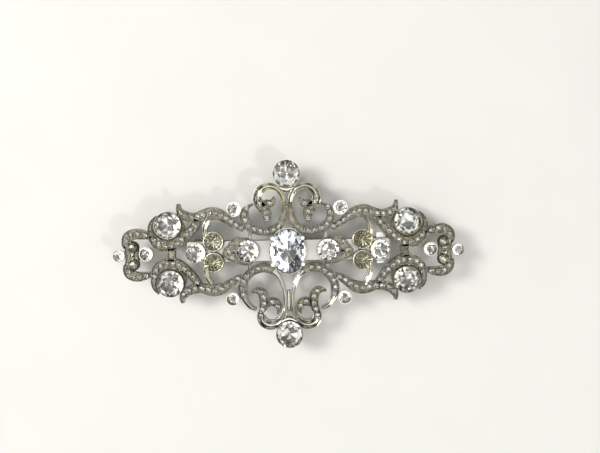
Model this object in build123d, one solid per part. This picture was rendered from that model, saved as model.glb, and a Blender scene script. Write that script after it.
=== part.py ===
"""Rhinestone hair clip: an openwork cast ornament of scrolls and collets on a 60 mm spring clip.

Frame: +X along the clip towards its catch, +Y across it, +Z out of the stones' face.
The origin is at the middle of the ornament's outline, on the surface the closed clip rests on.
All lengths are in millimetres. The left half is described and the right half mirrors it.
"""
import math
import os

from build123d import *

# ---- Spring clip -------------------------------------------------------------------------
clip_line_y = 1.0            # the clip runs under the middle row of stones
plate_half_length = 30.0
plate_width = 6.0
plate_thickness = 0.8
flange_depth = 1.0           # the plate's turned-down edges
flange_thickness = 0.6
arm_width = 5.6
arm_thickness = 0.8
arm_step_up = 0.9            # the arm's latch window stands this much above its underside
hair_room = 4.4              # clear height between the arm and the bowed spring
spring_side_room = 0.4
spring_width = plate_width - 2 * (flange_thickness + spring_side_room)
spring_thickness = 0.4
spring_bow = 2.45
spring_half_length = plate_half_length - 6.0

# ---- Hinge -------------------------------------------------------------------------------
hinge_x = 1.8 - plate_half_length
pin_radius = 0.55
pin_running_clearance = 0.05
knuckle_radius = 1.15
hinge_height = 1.3
ear_radius = 1.25
ear_side_clearance = 0.1
ear_upper_width = 3.2

# ---- Catch -------------------------------------------------------------------------------
catch_x = plate_half_length - 2.0
leg_width = 2.8
leg_thickness = 0.6
leg_side_room = 0.3
leg_inner_y = plate_width / 2 - flange_thickness - leg_side_room - leg_thickness
leg_root_radius = 0.45
barb_reach = 0.6
barb_clearance = 0.1
window_clearance = 0.2
rail_clearance = 0.1
rail_width = 1.2
pad_reach = 2.5
pad_height = 3.0
pad_mid_height = 4.3
catch_base_thickness = 0.4
catch_base_length = 4.8
rivet_radius = 0.6
rivet_head_radius = 0.95
rivet_head_height = 0.3
rivet_spacing = 3.2
thumb_lip = 1.6

# ---- Casting and settings ----------------------------------------------------------------
casting_thickness = 2.2
smallest_piece = 0.5         # a trimming smaller than this area is swept away
solder_gap = 0.02            # between a collet and the hole it is soldered in
oval_edge = 0.12             # what shows of the oval cup round its stone
collet_floor = 0.4
stone_side_clearance = 0.04
seat_depth = 0.45            # from a stone's girdle down to the ledge it sits on
bezel_wall = 0.3             # a bezel's rim round its stone
bezel_rise = 0.25            # how far that rim stands over the girdle
open_edge = 0.06             # what shows of an open cup round its stone
open_seat_depth = 0.12
chip_radius = 0.72
chip_sink = 0.35
chip_rise = 0.35
chip_clearance = 0.02
chip_gap = 0.41
chip_pitch = 2 * chip_radius + chip_gap
fan_radius = 3.0
fan_dish_radius = 2.5
fan_dish_depth = 0.7
solder_leg = 0.6
solder_length = 3.0
prong_radius = 0.55

spring_low_z = arm_thickness + hair_room
plate_bottom_z = spring_low_z + spring_bow + spring_thickness + 0.05
back_z = plate_bottom_z + plate_thickness
face_z = back_z + casting_thickness

# Collets: name, x, y, outer radius, height of the stone's girdle over the casting's back, bezel or not.
# A collet off the centre line has a twin on the right.
centre_collets = [("top", 0.0, 23.68, 4.05, 2.9, False), ("bottom", 0.0, -23.68, 4.0, 2.9, False)]
side_collets = [
    ("upper_cradle", -35.2, 9.2, 4.0, 2.9, False),
    ("lower_cradle", -34.8, -8.1, 3.95, 2.9, False),
    ("inner", -11.9, 1.05, 3.3, 2.6, False),
    ("middle", -27.2, 0.9, 2.95, 2.5, False),
    ("upper_corner", -15.6, 13.5, 2.1, 2.3, True),
    ("lower_corner", -16.5, -12.95, 2.0, 2.3, True),
    ("end_heart", -41.8, 0.8, 2.05, 2.3, True),
    ("tip", -49.9, 0.42, 1.75, 2.2, False),
]
oval_y = 1.0
oval_half_width = 5.5
oval_half_height = 6.8
oval_girdle_height = 3.2

# Bands of the casting: stations (x, y, width) along the middle line.
upper_heart_scroll = [
    (-10.0, 14.9, 0.7), (-11.4, 14.2, 1.1), (-12.5, 12.8, 2.3), (-12.7, 11.2, 2.5), (-12.2, 9.5, 2.6),
    (-11.0, 8.1, 2.6), (-9.3, 7.3, 2.6), (-7.4, 6.9, 2.6), (-5.4, 6.9, 2.6), (-3.6, 7.6, 2.5),
    (-2.2, 8.9, 2.3), (-1.3, 10.8, 2.1), (-0.9, 12.9, 1.5), (-0.9, 15.2, 1.3), (-1.4, 17.3, 1.6),
    (-2.7, 19.2, 1.8), (-4.8, 20.1, 2.0), (-6.8, 19.7, 2.3), (-8.2, 18.4, 2.5), (-8.7, 16.8, 2.5),
    (-8.3, 15.3, 2.9), (-7.3, 14.1, 3.1), (-6.4, 13.0, 3.1), (-6.0, 11.8, 2.9), (-6.1, 10.6, 2.4),
    (-6.7, 9.4, 0.6)]
upper_heart_leaf = [
    (-7.6, 15.0, 2.0), (-6.2, 15.0, 2.5), (-5.1, 15.0, 2.5), (-4.2, 15.7, 1.8), (-3.8, 16.9, 0.5)]
lower_heart_scroll = [
    (-9.6, -16.2, 0.7), (-11.2, -15.5, 1.3), (-12.6, -13.9, 1.5), (-13.4, -12.0, 2.2), (-13.7, -10.0, 2.6),
    (-13.2, -8.0, 2.6), (-12.1, -6.1, 2.6), (-10.4, -4.8, 2.6), (-8.4, -4.1, 2.6), (-6.4, -4.1, 2.5),
    (-4.6, -4.9, 2.2), (-3.2, -6.3, 1.4), (-2.1, -8.2, 1.3), (-1.4, -10.4, 1.3), (-1.1, -12.6, 1.3),
    (-1.1, -14.8, 1.3), (-1.4, -17.0, 1.5), (-2.2, -19.0, 2.0), (-3.8, -20.5, 2.6), (-5.7, -20.9, 2.9),
    (-7.4, -20.2, 2.9), (-8.3, -18.7, 2.6), (-8.3, -17.2, 2.2), (-7.7, -16.0, 2.5), (-7.4, -14.6, 2.7),
    (-7.4, -13.0, 2.9), (-7.9, -11.6, 2.7), (-9.1, -10.7, 2.0), (-11.0, -10.9, 0.6)]
lower_heart_leaf = [
    (-7.0, -14.6, 2.1), (-6.2, -14.4, 2.4), (-5.0, -14.1, 2.5), (-3.8, -14.4, 2.4), (-3.1, -15.4, 1.9),
    (-3.1, -16.5, 1.3), (-3.5, -17.6, 0.4)]
upper_wave = [
    (-32.0, 15.4, 0.8), (-31.9, 13.9, 1.5), (-31.2, 12.6, 2.5), (-29.9, 11.8, 2.8), (-28.4, 11.4, 2.8),
    (-27.0, 11.4, 2.9), (-25.0, 11.9, 3.2), (-23.4, 12.3, 3.7), (-21.8, 12.4, 3.8), (-20.2, 12.1, 3.4),
    (-18.6, 11.2, 3.0), (-17.2, 10.2, 2.4), (-15.6, 9.1, 2.1), (-14.0, 8.2, 2.0), (-12.9, 7.4, 1.6)]
lower_wave = [
    (-31.4, -13.9, 0.9), (-31.5, -12.8, 1.6), (-31.0, -11.6, 2.6), (-30.2, -10.7, 2.8), (-28.6, -10.0, 2.8),
    (-26.8, -9.7, 2.8), (-25.0, -9.8, 2.9), (-23.0, -10.3, 3.3), (-21.2, -10.3, 3.5), (-19.5, -9.8, 3.3),
    (-18.0, -8.9, 2.8), (-16.5, -7.9, 2.4), (-15.0, -7.0, 2.0), (-13.6, -6.4, 1.5)]
upper_cradle = [
    (-38.6, 11.9, 0.4), (-39.8, 10.6, 0.8), (-40.5, 9.0, 1.1), (-40.5, 7.4, 1.5), (-40.0, 5.8, 2.3),
    (-39.0, 4.4, 2.9), (-37.6, 3.4, 3.2), (-36.0, 3.0, 3.2), (-34.2, 3.0, 3.0), (-32.6, 3.7, 2.9),
    (-31.2, 4.8, 2.8), (-29.9, 6.1, 2.7), (-28.5, 7.6, 2.6), (-27.2, 9.1, 2.5), (-26.5, 10.6, 2.2)]
lower_cradle = [
    (-38.4, -11.0, 0.5), (-39.6, -9.6, 1.0), (-40.0, -8.0, 1.3), (-39.8, -6.2, 1.8), (-39.3, -4.6, 2.5),
    (-38.3, -3.2, 3.0), (-36.9, -2.4, 3.1), (-35.0, -2.1, 3.1), (-33.1, -2.3, 3.0), (-31.5, -3.2, 2.8),
    (-30.0, -4.4, 2.5), (-28.6, -5.9, 2.4), (-27.4, -7.4, 2.3), (-26.3, -8.9, 2.0)]
neck = [(-34.4, 2.4, 2.6), (-34.4, 0.5, 2.2), (-34.6, -1.4, 2.6)]
upper_fan_arm = [(-22.9, 10.9, 1.4), (-24.0, 9.2, 1.6), (-24.4, 7.4, 1.5), (-24.1, 5.4, 1.4)]
lower_fan_arm = [
    (-24.0, -2.6, 1.3), (-24.3, -4.4, 1.5), (-23.9, -6.4, 1.5), (-22.9, -8.2, 1.4), (-22.5, -9.6, 1.2)]
upper_link = [(-11.3, 4.4, 1.0), (-11.1, 5.6, 1.0), (-11.0, 6.9, 1.0)]
lower_link = [(-11.5, -2.4, 1.0), (-11.5, -3.6, 1.0), (-11.3, -4.9, 1.0)]
upper_lobe = [
    (-40.4, 5.6, 1.4), (-41.3, 6.1, 2.0), (-42.8, 6.5, 2.8), (-44.4, 6.8, 3.1), (-45.9, 6.6, 3.2),
    (-47.1, 5.8, 3.2), (-47.6, 4.5, 2.9), (-47.3, 3.0, 2.8)]
lower_lobe = [
    (-40.2, -5.0, 1.2), (-41.2, -5.4, 1.8), (-42.8, -5.8, 2.5), (-44.3, -5.9, 2.8), (-45.7, -5.7, 2.9),
    (-46.9, -5.0, 2.9), (-47.4, -3.8, 2.8), (-47.3, -2.4, 2.8)]
end_column = [(-47.2, 3.6, 2.8), (-46.3, 1.9, 3.8), (-45.9, 0.4, 3.6), (-46.2, -1.1, 3.8), (-47.1, -2.8, 2.8)]
collar = [
    (-10.6, 4.6), (-12.0, 5.1), (-13.8, 5.0), (-15.6, 4.9), (-16.8, 4.3), (-17.7, 3.0), (-18.5, 1.7),
    (-19.3, 0.4), (-17.8, -1.0), (-16.0, -2.1), (-14.0, -2.9), (-12.0, -3.1), (-10.6, -2.6)]
fan_centres = [(-22.0, 4.1), (-22.0, -2.1)]
fan_chips = [(-21.9, 5.2), (-22.0, -3.4)]
curl_balls = [(-45.7, 2.9, 1.8), (-45.6, -2.2, 1.8)]
# Hidden pads of the casting that carry a collet: x, y, radius.
cradle_pads = [(-35.0, 8.2, 4.5), (-34.7, -7.2, 4.4)]
heart_upper_pads = [(0.0, 20.4, 2.4), (0.0, 14.0, 0.6), (-14.1, 12.4, 0.9), (14.1, 12.4, 0.9)]
heart_lower_pads = [(0.0, -20.4, 2.4), (-14.9, -12.2, 0.8), (14.9, -12.2, 0.8)]
lower_bridge = (0.0, -13.6, 0.75, 3.2)

nodes = {}


def at(x, y, z=0.0):
    """A location at a point."""
    return Location((x, y, z))


def curve_sides(stations):
    """The points half a width to each side of a band's middle line."""
    left, right = [], []
    for i, (x, y, width) in enumerate(stations):
        before = stations[max(i - 1, 0)]
        after = stations[min(i + 1, len(stations) - 1)]
        along = Vector(after[0] - before[0], after[1] - before[1]).normalized()
        across = Vector(-along.Y, along.X) * (width / 2)
        left.append(Vector(x, y) + across)
        right.append(Vector(x, y) - across)
    return left, right


def band(stations, cuts=()):
    """Flat faces that follow a middle line, cut into runs that meet end to end."""
    left, right = curve_sides(stations)
    stops = [0, *cuts, len(stations) - 1]
    faces = []
    for start, end in zip(stops, stops[1:]):
        upper = left[start:end + 1]
        lower = right[start:end + 1]
        edges = [Spline(*upper), Line(upper[-1], lower[-1]), Spline(*lower), Line(lower[0], upper[0])]
        faces.append(make_face(edges).face())
    return faces


def disc(x, y, radius):
    """A round flat face."""
    return Face(Wire(Edge.make_circle(radius, Plane((x, y, 0)))))


def join(faces):
    """Flat faces joined to one."""
    return faces[0].fuse(*faces[1:]) if len(faces) > 1 else faces[0]


def flat_list(shape):
    """The faces of a shape, whatever it is wrapped in."""
    return shape.faces() if not isinstance(shape, (list, ShapeList)) else [f for s in shape for f in s.faces()]


def mirrored(shape):
    """The same shape on the right half."""
    return mirror(shape, about=Plane.YZ)


def collet_holes(grow):
    """Round and oval faces where the collets pass through the casting."""
    holes = [disc(x, y, radius + grow) for name, x, y, radius, height, bezel in centre_collets]
    for name, x, y, radius, height, bezel in side_collets:
        holes += [disc(x, y, radius + grow), disc(-x, y, radius + grow)]
    plane = Plane((0, oval_y, 0), x_dir=(0, 1, 0))
    oval = Edge.make_ellipse(oval_half_height + grow, oval_half_width + grow, plane)
    return holes + [Face(Wire(oval))]


def raise_casting(faces, less):
    """A casting of the joined faces, less other flat faces, from its back to its face."""
    outline = join(faces)
    outline = Compound(children=flat_list(outline)).cut(*less)
    whole = [face for face in flat_list(outline) if face.area > smallest_piece]
    raised = [at(0, 0, back_z) * extrude(face, casting_thickness, dir=(0, 0, 1)) for face in whole]
    return Compound(children=raised)


def points_along(stations, first, last):
    """Evenly pitched chip places between two shares of a band's middle line."""
    line = Spline(*[(x, y) for x, y, width in stations])
    count = round(line.length * (last - first) / chip_pitch)
    shares = [first + (last - first) * i / count for i in range(count + 1)]
    return [((line @ share).X, (line @ share).Y) for share in shares]


def chip(x, y, z):
    """A small round stone sunk in the casting's face."""
    low = Cylinder(chip_radius, chip_sink, align=(Align.CENTER, Align.CENTER, Align.MAX))
    high = Cone(chip_radius, chip_radius * 0.6, chip_rise, align=(Align.CENTER, Align.CENTER, Align.MIN))
    return at(x, y, z) * (low + high)


def chip_pocket(x, y, z):
    """The drilled seat of a small stone."""
    depth = chip_sink + chip_clearance
    seat = Cylinder(chip_radius + chip_clearance, depth + 1, align=(Align.CENTER, Align.CENTER, Align.MIN))
    return at(x, y, z - depth) * seat


def set_chips(name, casting, places, sunk_places=()):
    """Drill a casting for its chips, and keep both."""
    spots = [(x, y, face_z) for x, y in places] + list(sunk_places)
    casting = casting.cut(*[chip_pocket(*spot) for spot in spots])
    nodes[name] = casting
    nodes[name + "_chips"] = Compound(children=[chip(*spot) for spot in spots])


def stone_profile(radius, depth, crown):
    """Half outline of a round stone with its girdle at height zero."""
    girdle = 0.15
    low = [(0, -depth), (radius * 0.3, -depth), (radius, 0)]
    return low + [(radius, girdle), (radius * 0.58, crown), (0, crown)]


def turned(points):
    """A solid turned round the Z axis from its half outline."""
    outline = Polyline(*[(r, 0, z) for r, z in points], close=True)
    return revolve(make_face(outline), Axis.Z)


def collet_and_stone(name, x, y, radius, height, bezel):
    """A round cup with its stone: a bezel's rim stands round the stone, an open cup ends under its edge."""
    edge = bezel_wall if bezel else open_edge
    stone_radius = radius - edge
    depth = min(stone_radius * 0.66, height - collet_floor - 0.1)
    crown = stone_radius * 0.36
    slope = stone_radius * 0.7 / depth
    ledge_depth = seat_depth if bezel else open_seat_depth
    ledge_radius = stone_radius - ledge_depth * slope + chip_clearance
    outline = [(0, 0), (radius, 0)]
    if bezel:
        inner = stone_radius + stone_side_clearance
        outline += [(radius, height + bezel_rise), (inner, height + bezel_rise), (inner, height - ledge_depth)]
    else:
        outline.append((radius, height - ledge_depth))
    outline += [(ledge_radius, height - ledge_depth), (stone_radius * 0.3 + 0.2, height - depth)]
    cup = turned(outline + [(0, height - depth - 0.05)])
    gem = at(0, 0, height) * turned(stone_profile(stone_radius, depth, crown))
    nodes[name + "_collet"] = at(x, y, back_z) * cup
    nodes[name + "_stone"] = at(x, y, back_z) * gem


def oval_section(half_width, half_height, z):
    """An oval face at a height."""
    plane = Plane((0, oval_y, z), x_dir=(0, 1, 0))
    return Face(Wire(Edge.make_ellipse(half_height, half_width, plane)))


def make_centre():
    """The oval collet with four claws, and its stone."""
    wall = oval_edge
    girdle_z = back_z + oval_girdle_height
    stone_w = oval_half_width - wall
    stone_h = oval_half_height - wall
    pavilion = loft([
        oval_section(stone_w * 0.3, stone_h * 0.3, girdle_z - 2.4), oval_section(stone_w, stone_h, girdle_z)])
    crown = loft([
        oval_section(stone_w, stone_h, girdle_z), oval_section(stone_w * 0.62, stone_h * 0.66, girdle_z + 2.0)])
    nodes["centre_stone"] = pavilion + crown
    cup_height = oval_girdle_height - open_seat_depth
    cup = extrude(oval_section(oval_half_width, oval_half_height, back_z), cup_height, dir=(0, 0, 1))
    slope = 0.7 / 2.4
    share = 1 - open_seat_depth * slope + 0.005
    hollow = loft([
        oval_section(stone_w * 0.34, stone_h * 0.34, girdle_z - 2.5),
        oval_section(stone_w * share, stone_h * share, girdle_z - open_seat_depth)])
    cup = cup - hollow
    for angle in (35, 145, 215, 325):
        x = (oval_half_width - 0.1) * math.cos(math.radians(angle))
        y = oval_y + (oval_half_height - 0.1) * math.sin(math.radians(angle))
        claw = Cylinder(prong_radius, oval_girdle_height + 0.9, align=(Align.CENTER, Align.CENTER, Align.MIN))
        cup += at(x, y, back_z) * claw
    nodes["centre_collet"] = cup - pavilion - crown


def make_castings():
    """The two heart scrolls, the two wings and the two end hearts, with their chips."""
    holes = collet_holes(solder_gap)
    hearts = {}
    for name, scroll, cuts, leaf, pads in (
            ("upper_heart", upper_heart_scroll, (15, 20), upper_heart_leaf, heart_upper_pads),
            ("lower_heart", lower_heart_scroll, (16, 23), lower_heart_leaf, heart_lower_pads)):
        left = band(scroll, cuts) + band(leaf)
        faces = left + [mirrored(face) for face in left] + [disc(*pad) for pad in pads]
        if name == "lower_heart":
            x, y, half_width, half_height = lower_bridge
            bridge = Edge.make_ellipse(half_height, half_width, Plane((x, y, 0), x_dir=(0, 1, 0)))
            faces.append(Face(Wire(bridge)))
        hearts[name] = faces
    heart_faces = [join(hearts["upper_heart"]), join(hearts["lower_heart"])]
    heart_faces = [face for group in heart_faces for face in flat_list(group)]
    wing = band(upper_wave) + band(lower_wave) + band(upper_cradle) + band(lower_cradle) + band(neck)
    wing += band(upper_fan_arm) + band(lower_fan_arm) + band(upper_link) + band(lower_link)
    wing += [disc(x, y, fan_radius) for x, y in fan_centres] + [disc(*pad) for pad in cradle_pads]
    rim = [Spline(*collar), Line(collar[-1], collar[0])]
    wing.append(make_face(rim).face())
    wing_shape = flat_list(join(wing))
    end = band(upper_lobe) + band(lower_lobe) + band(end_column) + [disc(*ball) for ball in curl_balls]

    upper = raise_casting(hearts["upper_heart"], holes)
    lower = raise_casting(hearts["lower_heart"], holes)
    places = points_along(upper_heart_scroll, 0.05, 0.38) + points_along(upper_heart_scroll, 0.82, 0.97)
    places += [(-5.2, 15.0)]
    set_chips("upper_heart", upper, places + [(-x, y) for x, y in places])
    places = points_along(lower_heart_scroll, 0.11, 0.33) + points_along(lower_heart_scroll, 0.81, 0.95)
    places += [(-5.0, -14.1), (-3.4, -15.4)]
    set_chips("lower_heart", lower, places + [(-x, y) for x, y in places])

    wing_places = points_along(upper_wave, 0.12, 0.96) + points_along(lower_wave, 0.12, 0.93)
    wing_places += points_along(upper_cradle, 0.24, 0.93) + points_along(lower_cradle, 0.24, 0.95)
    wing_places += [(-16.4, 3.4), (-17.5, 0.9), (-16.5, -0.9)]
    wing_places = spaced(wing_places)
    end_places = spaced(points_along(upper_lobe, 0.2, 1.0) + points_along(lower_lobe, 0.2, 1.0)
                        + [(-45.4, 2.8), (-45.3, -2.1), (-46.0, 1.1), (-46.1, -0.5)])
    dish_z = face_z - fan_dish_depth
    for side in ("left", "right"):
        flip = 1 if side == "left" else -1
        as_side = (lambda shape: shape) if side == "left" else mirrored
        casting = raise_casting([as_side(face) for face in wing_shape], holes + heart_faces)
        for x, y in fan_centres:
            dish = Cylinder(fan_dish_radius, fan_dish_depth + 1, align=(Align.CENTER, Align.CENTER, Align.MIN))
            casting = casting.cut(at(flip * x, y, dish_z) * dish)
        fan_spots = [(flip * x, y, dish_z) for x, y in fan_chips]
        set_chips(side + "_wing", casting, [(flip * x, y) for x, y in wing_places], fan_spots)
        wing_faces = [as_side(face) for face in wing_shape]
        casting = raise_casting([as_side(face) for face in end], holes + wing_faces)
        set_chips(side + "_end_heart", casting, [(flip * x, y) for x, y in end_places])


def spaced(places):
    """Chip places with any that would touch an earlier one left out."""
    kept = []
    for place in places:
        if all(math.dist(place, other) > 2 * (chip_radius + chip_clearance) + 0.1 for other in kept):
            kept.append(place)
    return kept


def plate_box(x0, x1, y0, y1, z0, z1):
    """A box between two corners, with Y counted from the clip's line."""
    box = Box(x1 - x0, y1 - y0, z1 - z0, align=(Align.MIN, Align.MIN, Align.MIN))
    return at(x0, clip_line_y + y0, z0) * box


def rod_y(radius, half_length, x, z):
    """A rod across the clip."""
    return Location((x, clip_line_y, z), (90, 0, 0)) * Cylinder(radius, 2 * half_length)


def rod_x(radius, length, x, y, z):
    """A rod along the clip."""
    return Location((x, clip_line_y + y, z), (0, 90, 0)) * Cylinder(radius, length)


def make_plate():
    """The long plate under the ornament, with turned-down edges and the hinge's ears."""
    half = plate_width / 2
    plate = plate_box(-plate_half_length, plate_half_length, -half, half, plate_bottom_z, back_z)
    flange_z = plate_bottom_z - flange_depth
    for side in (-1, 1):
        y0, y1 = sorted((side * half, side * (half - flange_thickness)))
        plate += plate_box(-plate_half_length, plate_half_length, y0, y1, flange_z, plate_bottom_z)
        ear_half = ear_upper_width / 2
        ear_top = hinge_height + ear_radius
        ear = plate_box(hinge_x - ear_half, hinge_x + ear_half, y0, y1, ear_top, plate_bottom_z)
        ear += plate_box(hinge_x - ear_radius, hinge_x + ear_radius, y0, y1, hinge_height, ear_top)
        tip = rod_y(ear_radius, flange_thickness / 2, hinge_x, hinge_height)
        plate += ear + at(0, (y0 + y1) / 2) * tip
    plate -= rod_y(pin_radius + solder_gap, plate_width, hinge_x, hinge_height)
    for x in rivet_places():
        plate -= at(x, clip_line_y, plate_bottom_z) * Cylinder(rivet_radius + solder_gap, 4 * plate_thickness)
    nodes["clip_plate"] = plate


def rivet_places():
    """Where the catch is riveted to the plate."""
    middle = plate_half_length - catch_base_length / 2
    return [middle - rivet_spacing / 2, middle + rivet_spacing / 2]


def make_hinge_pin():
    """The pin through the ears and the arm's knuckle, with its two flattened ends."""
    half = plate_width / 2
    pin = rod_y(pin_radius, half + 0.1, hinge_x, hinge_height)
    for side in (-1, 1):
        head = rod_y(pin_radius * 1.5, 0.15, hinge_x, hinge_height)
        pin += at(0, side * (half + solder_gap + 0.15)) * head
    nodes["hinge_pin"] = pin


def make_arm():
    """The clasp arm: knuckle, flat strip and the raised window that the catch's barbs hold."""
    knuckle_half = plate_width / 2 - flange_thickness - ear_side_clearance
    rail_inner = leg_inner_y + leg_thickness + rail_clearance
    head_half = rail_inner + rail_width
    head_start = catch_x - leg_width / 2 - window_clearance - 1.2
    head_end = catch_x + leg_width / 2 + window_clearance + thumb_lip
    rise = head_start - 1.2
    top = arm_thickness
    side_view = Polyline(
        (hinge_x, 0), (rise, 0), (head_start, arm_step_up), (head_end, arm_step_up),
        (head_end, arm_step_up + top), (head_start - 0.3, arm_step_up + top), (rise - 0.3, top), (hinge_x, top),
        close=True)
    strip = extrude(Plane.XZ * make_face(side_view), 12, both=True)
    narrow_end = hinge_x + ear_radius + 1.05
    plan = Polyline(
        (hinge_x - 2, -knuckle_half), (narrow_end, -knuckle_half), (narrow_end + 1, -arm_width / 2),
        (rise, -arm_width / 2), (head_start, -head_half), (head_end - 0.8, -head_half), (head_end, -head_half + 1.6),
        (head_end, head_half - 1.6), (head_end - 0.8, head_half), (head_start, head_half), (rise, arm_width / 2),
        (narrow_end + 1, arm_width / 2), (narrow_end, knuckle_half), (hinge_x - 2, knuckle_half), close=True)
    outline = extrude(make_face(plan), 6, both=True)
    arm = strip & (at(0, clip_line_y) * outline)
    window = leg_width / 2 + window_clearance
    arm -= plate_box(catch_x - window, catch_x + window, -rail_inner, rail_inner, -1, 4)
    arm += rod_y(knuckle_radius, knuckle_half, hinge_x, hinge_height)
    arm -= rod_y(pin_radius + pin_running_clearance, plate_width, hinge_x, hinge_height)
    nodes["clasp_arm"] = arm


def make_spring():
    """The bowed strip that presses the hair against the arm."""
    low_end = spring_low_z + spring_bow
    t = spring_thickness
    half = spring_half_length
    lower = ThreePointArc((-half, low_end), (0, spring_low_z), (half, low_end))
    upper = ThreePointArc((half, low_end + t), (0, spring_low_z + t), (-half, low_end + t))
    section = make_face([lower, Line((half, low_end), (half, low_end + t)), upper,
                         Line((-half, low_end + t), (-half, low_end))])
    nodes["tension_spring"] = at(0, clip_line_y) * extrude(Plane.XZ * section, spring_width / 2, both=True)


def make_catch():
    """The catch under the plate: its base, two rivets and two barbed legs squeezed to open it."""
    inner = plate_width / 2 - flange_thickness - 0.05
    x1 = plate_half_length
    base_z = plate_bottom_z - catch_base_thickness
    base = plate_box(x1 - catch_base_length, x1, -inner, inner, base_z, plate_bottom_z)
    rivets = []
    for x in rivet_places():
        base -= at(x, clip_line_y, base_z) * Cylinder(rivet_radius + solder_gap, 4)
        shank = Cylinder(rivet_radius, back_z - base_z, align=(Align.CENTER, Align.CENTER, Align.MIN))
        head = Cylinder(rivet_head_radius, rivet_head_height, align=(Align.CENTER, Align.CENTER, Align.MAX))
        rivets.append(at(x, clip_line_y, base_z) * (shank + head))
    nodes["catch_base"] = base
    nodes["catch_rivets"] = Compound(children=rivets)
    root_z = base_z - leg_root_radius - 0.05
    outer = leg_inner_y + leg_thickness
    barb_top = arm_step_up - barb_clearance
    pad_low = pad_mid_height - pad_height / 2
    pad_high = pad_mid_height + pad_height / 2
    shelf = leg_thickness / 2
    for name, side in (("release_tab_back", 1), ("release_tab_front", -1)):
        outline = Polyline(
            (leg_inner_y, root_z), (outer, root_z), (outer, pad_mid_height + shelf),
            (outer + pad_reach - leg_thickness, pad_mid_height + shelf),
            (outer + pad_reach - leg_thickness, pad_high), (outer + pad_reach, pad_high),
            (outer + pad_reach, pad_low), (outer + pad_reach - leg_thickness, pad_low),
            (outer + pad_reach - leg_thickness, pad_mid_height - shelf), (outer, pad_mid_height - shelf),
            (outer, barb_top), (outer + barb_reach, barb_top), (outer, 0.15), (leg_inner_y, 0.15), close=True)
        leg = extrude(Plane.YZ * make_face(outline), leg_width / 2, both=True)
        leg = at(catch_x, clip_line_y) * leg
        leg += rod_x(leg_root_radius, leg_width, catch_x, leg_inner_y + leg_thickness / 2, root_z)
        nodes[name] = leg if side == 1 else mirror(leg, about=Plane.XZ.offset(-clip_line_y))
    print("tab pivot", leg_inner_y + leg_thickness / 2, root_z)


def make_solder():
    """Fillets of solder between the plate's edges and the back of the casting."""
    half = plate_width / 2
    wedge = Polyline((half, back_z), (half + solder_leg, back_z), (half, back_z - solder_leg), close=True)
    bead = extrude(Plane.YZ * make_face(wedge), solder_length / 2, both=True)
    beads = []
    for x in (-22.0, -11.9, 11.9, 22.0):
        beads.append(at(x, clip_line_y) * bead)
        beads.append(at(x, clip_line_y) * mirror(bead, about=Plane.XZ))
    nodes["solder_fillets"] = Compound(children=beads)


make_castings()
make_centre()
for collet in centre_collets:
    collet_and_stone(*collet)
for name, x, y, radius, height, bezel in side_collets:
    collet_and_stone("left_" + name, x, y, radius, height, bezel)
    collet_and_stone("right_" + name, -x, y, radius, height, bezel)
make_plate()
make_hinge_pin()
make_arm()
make_spring()
make_catch()
make_solder()

os.makedirs("parts", exist_ok=True)
for name, shape in nodes.items():
    export_step(shape, "parts/" + name + ".step")
print(len(nodes), "nodes; back of the casting at", round(back_z, 3), "face at", round(face_z, 3))
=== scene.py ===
# %% [markdown]
# # A rhinestone hair clip
# The clip is a cast openwork ornament soldered to a sprung clip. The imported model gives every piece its
# place: this lesson loads it, then gives the castings, the stones and the clip the finish of real ones.

# %% Load the frame
import math
import random

import bmesh
import bpy
import numpy as np
from mathutils import Matrix, Vector


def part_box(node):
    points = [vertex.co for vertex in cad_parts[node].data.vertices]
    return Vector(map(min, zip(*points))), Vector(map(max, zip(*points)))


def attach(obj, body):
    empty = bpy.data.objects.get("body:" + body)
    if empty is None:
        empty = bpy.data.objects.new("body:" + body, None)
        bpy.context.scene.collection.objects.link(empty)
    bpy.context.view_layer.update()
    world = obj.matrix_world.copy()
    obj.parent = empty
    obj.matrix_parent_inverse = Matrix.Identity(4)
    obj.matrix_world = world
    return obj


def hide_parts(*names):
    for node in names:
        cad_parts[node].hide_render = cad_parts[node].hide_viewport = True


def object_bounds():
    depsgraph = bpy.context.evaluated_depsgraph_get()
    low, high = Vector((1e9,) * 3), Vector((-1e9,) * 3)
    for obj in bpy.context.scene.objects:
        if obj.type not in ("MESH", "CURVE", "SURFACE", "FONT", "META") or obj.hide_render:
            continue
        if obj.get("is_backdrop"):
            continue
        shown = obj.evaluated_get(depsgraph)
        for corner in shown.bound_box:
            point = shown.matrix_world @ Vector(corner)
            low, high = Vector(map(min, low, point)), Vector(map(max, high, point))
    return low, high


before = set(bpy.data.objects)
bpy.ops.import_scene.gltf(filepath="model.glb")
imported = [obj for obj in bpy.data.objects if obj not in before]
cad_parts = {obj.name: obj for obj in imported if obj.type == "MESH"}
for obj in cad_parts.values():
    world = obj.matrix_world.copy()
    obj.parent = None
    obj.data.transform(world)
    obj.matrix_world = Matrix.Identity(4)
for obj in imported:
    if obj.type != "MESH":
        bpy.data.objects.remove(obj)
cad_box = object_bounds()
MM = 0.001
ORNAMENT = "ornament"

# %% [markdown]
# ## Heights
# The casting is a flat plate, so three heights rule everything on it: its back, its face and the floor of
# the channels between its rails. The back and the face are read from a casting's own box.

# %% Heights of the casting
low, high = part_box("upper_heart")
back_z = low[2] / MM
face_z = high[2] / MM
channel_depth = 0.35
rail_width = 0.3
print("back", round(back_z, 2), "face", round(face_z, 2))

# %% [markdown]
# ## Colour helpers
# A jeweller's metal is never one flat grey: the dips hold dark oxide and the high places are rubbed bright.
# The node helpers below build that from noise, from ambient occlusion and from the height on the piece; the
# occlusion darkening is partly that oxide and partly painted shade in crevices and between parts.


# %% Node helpers
def node(tree, kind, **values):
    """A shader node with its settings and unlinked sockets filled in."""
    made = tree.nodes.new("ShaderNode" + kind)
    for key, value in values.items():
        if hasattr(made, key):
            setattr(made, key, value)
        else:
            made.inputs[key.replace("_", " ")].default_value = value
    return made


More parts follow.
